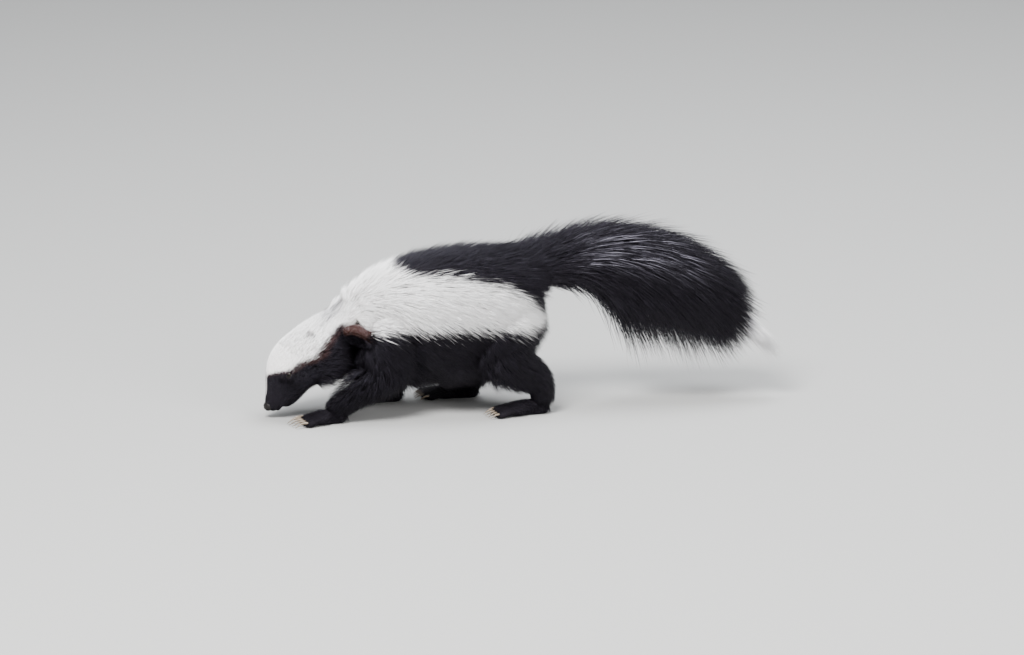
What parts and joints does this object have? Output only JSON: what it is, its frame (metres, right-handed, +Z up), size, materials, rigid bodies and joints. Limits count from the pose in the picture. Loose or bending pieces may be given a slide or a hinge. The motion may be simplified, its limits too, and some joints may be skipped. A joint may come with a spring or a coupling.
{
  "type": "striped skunk",
  "caption": "Life-size still model of a striped skunk nosing along the ground, head bowed, long plume tail held out behind and arching down, white stripes on black",
  "frame": {"origin": "on the floor, under the middle of the animal's bounding box", "axes": "+X runs from the tail to the nose, +Y to the animal's left, +Z up"},
  "size_m": [0.4588, 0.1218, 0.1702],
  "materials": {
    "black_fur": "long glossy black hair",
    "white_fur": "long soft white hair",
    "ear_fur": "short rusty brown fur",
    "nose_skin": "damp dark skin",
    "eye": "polished black glass eye",
    "claw": "smooth horn"
  },
  "bodies": {
    "root": {"head": "black_fur", "nose": "nose_skin", "eye_left": "eye", "eye_right": "eye", "ear_left": "ear_fur", "ear_right": "ear_fur", "neck": "white_fur", "torso": "black_fur", "tail": "black_fur", "front_left_leg": "black_fur", "front_right_leg": "black_fur", "hind_left_leg": "black_fur", "hind_right_leg": "black_fur", "front_left_paw": "black_fur", "front_right_paw": "black_fur", "hind_left_paw": "black_fur", "hind_right_paw": "black_fur", "front_left_claw_1": "claw", "front_left_claw_2": "claw", "front_left_claw_3": "claw", "front_left_claw_4": "claw", "front_left_claw_5": "claw", "front_right_claw_1": "claw", "front_right_claw_2": "claw", "front_right_claw_3": "claw", "front_right_claw_4": "claw", "front_right_claw_5": "claw", "hind_left_claw_1": "claw", "hind_left_claw_2": "claw", "hind_left_claw_3": "claw", "hind_left_claw_4": "claw", "hind_left_claw_5": "claw", "hind_right_claw_1": "claw", "hind_right_claw_2": "claw", "hind_right_claw_3": "claw", "hind_right_claw_4": "claw", "hind_right_claw_5": "claw"}
  },
  "joints": []
}
